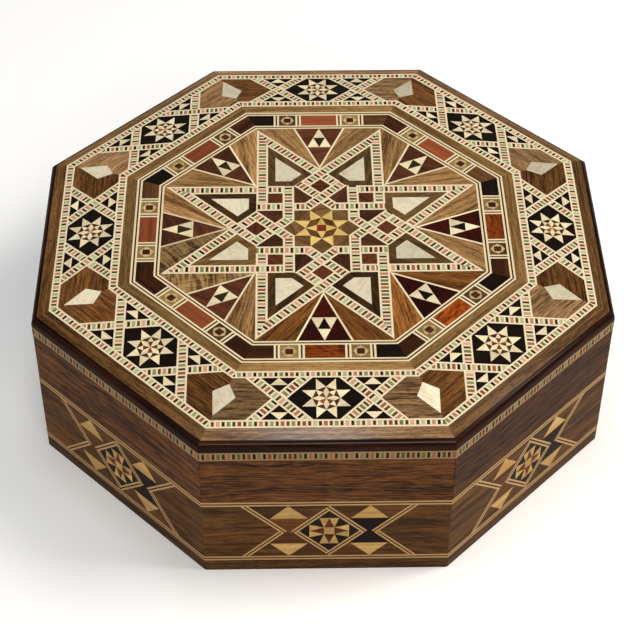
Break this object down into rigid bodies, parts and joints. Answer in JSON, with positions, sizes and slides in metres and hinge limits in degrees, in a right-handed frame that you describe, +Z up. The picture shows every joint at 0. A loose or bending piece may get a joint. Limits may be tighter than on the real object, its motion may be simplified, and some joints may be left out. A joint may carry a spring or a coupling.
{
  "type": "marquetry box",
  "caption": "Octagonal wooden box with a bevelled lift-off lid and geometric star marquetry; hollow, stands on its flat underside.",
  "frame": {"origin": "centre of the underside, on the surface that the box stands on", "axes": "+Z up through the middle of the lid; -Y square to the side at the front; +X to the right seen from the front"},
  "size_m": [0.25, 0.25, 0.0842],
  "materials": {
    "plain_wood": "plain sanded walnut board, out of sight",
    "wall_walnut": "lacquered reddish walnut, grain along each side",
    "side_marquetry": "lacquered marquetry of walnut, rosewood, ebony and pale wood",
    "mosaic": "lacquered strip of tiny dark, pink and green wood tiles between pale lines",
    "frame_walnut": "lacquered walnut with mitred corners, outer edge stained nearly black",
    "field_walnut": "lacquered walnut, grain turned at each corner line",
    "shell": "polished mother-of-pearl",
    "rosette_marquetry": "lacquered marquetry of ebony and pale wood with a rosette",
    "stringing": "two pale lines with a dark one between them, lacquered",
    "tile_marquetry": "lacquered orange burr, ebony and rosewood blocks between pale lines",
    "star_marquetry": "lacquered marquetry star of woven mosaic straps on walnut and rosewood"
  },
  "bodies": {
    "root": {"bottom_board": "plain_wood", "wall_board_1": "wall_walnut", "wall_board_2": "wall_walnut", "wall_board_3": "wall_walnut", "wall_board_4": "wall_walnut", "wall_board_5": "wall_walnut", "wall_board_6": "wall_walnut", "wall_board_7": "wall_walnut", "wall_board_8": "wall_walnut", "side_marquetry_1": "side_marquetry", "side_marquetry_2": "side_marquetry", "side_marquetry_3": "side_marquetry", "side_marquetry_4": "side_marquetry", "side_marquetry_5": "side_marquetry", "side_marquetry_6": "side_marquetry", "side_marquetry_7": "side_marquetry", "side_marquetry_8": "side_marquetry", "side_mosaic_strip": "mosaic", "lid_board": "plain_wood", "lid_frame": "frame_walnut", "lid_outer_mosaic": "mosaic", "corner_field_1": "field_walnut", "corner_field_2": "field_walnut", "corner_field_3": "field_walnut", "corner_field_4": "field_walnut", "corner_field_5": "field_walnut", "corner_field_6": "field_walnut", "corner_field_7": "field_walnut", "corner_field_8": "field_walnut", "corner_shell_1": "shell", "corner_shell_2": "shell", "corner_shell_3": "shell", "corner_shell_4": "shell", "corner_shell_5": "shell", "corner_shell_6": "shell", "corner_shell_7": "shell", "corner_shell_8": "shell", "rosette_panel_1": "rosette_marquetry", "rosette_panel_2": "rosette_marquetry", "rosette_panel_3": "rosette_marquetry", "rosette_panel_4": "rosette_marquetry", "rosette_panel_5": "rosette_marquetry", "rosette_panel_6": "rosette_marquetry", "rosette_panel_7": "rosette_marquetry", "rosette_panel_8": "rosette_marquetry", "lid_inner_mosaic": "mosaic", "lid_inner_frame": "frame_walnut", "outer_stringing": "stringing", "tile_border": "tile_marquetry", "inner_stringing": "stringing", "star_panel": "star_marquetry", "star_shell_1": "shell", "star_shell_2": "shell", "star_shell_3": "shell", "star_shell_4": "shell", "star_shell_5": "shell", "star_shell_6": "shell", "star_shell_7": "shell", "star_shell_8": "shell"}
  },
  "joints": []
}
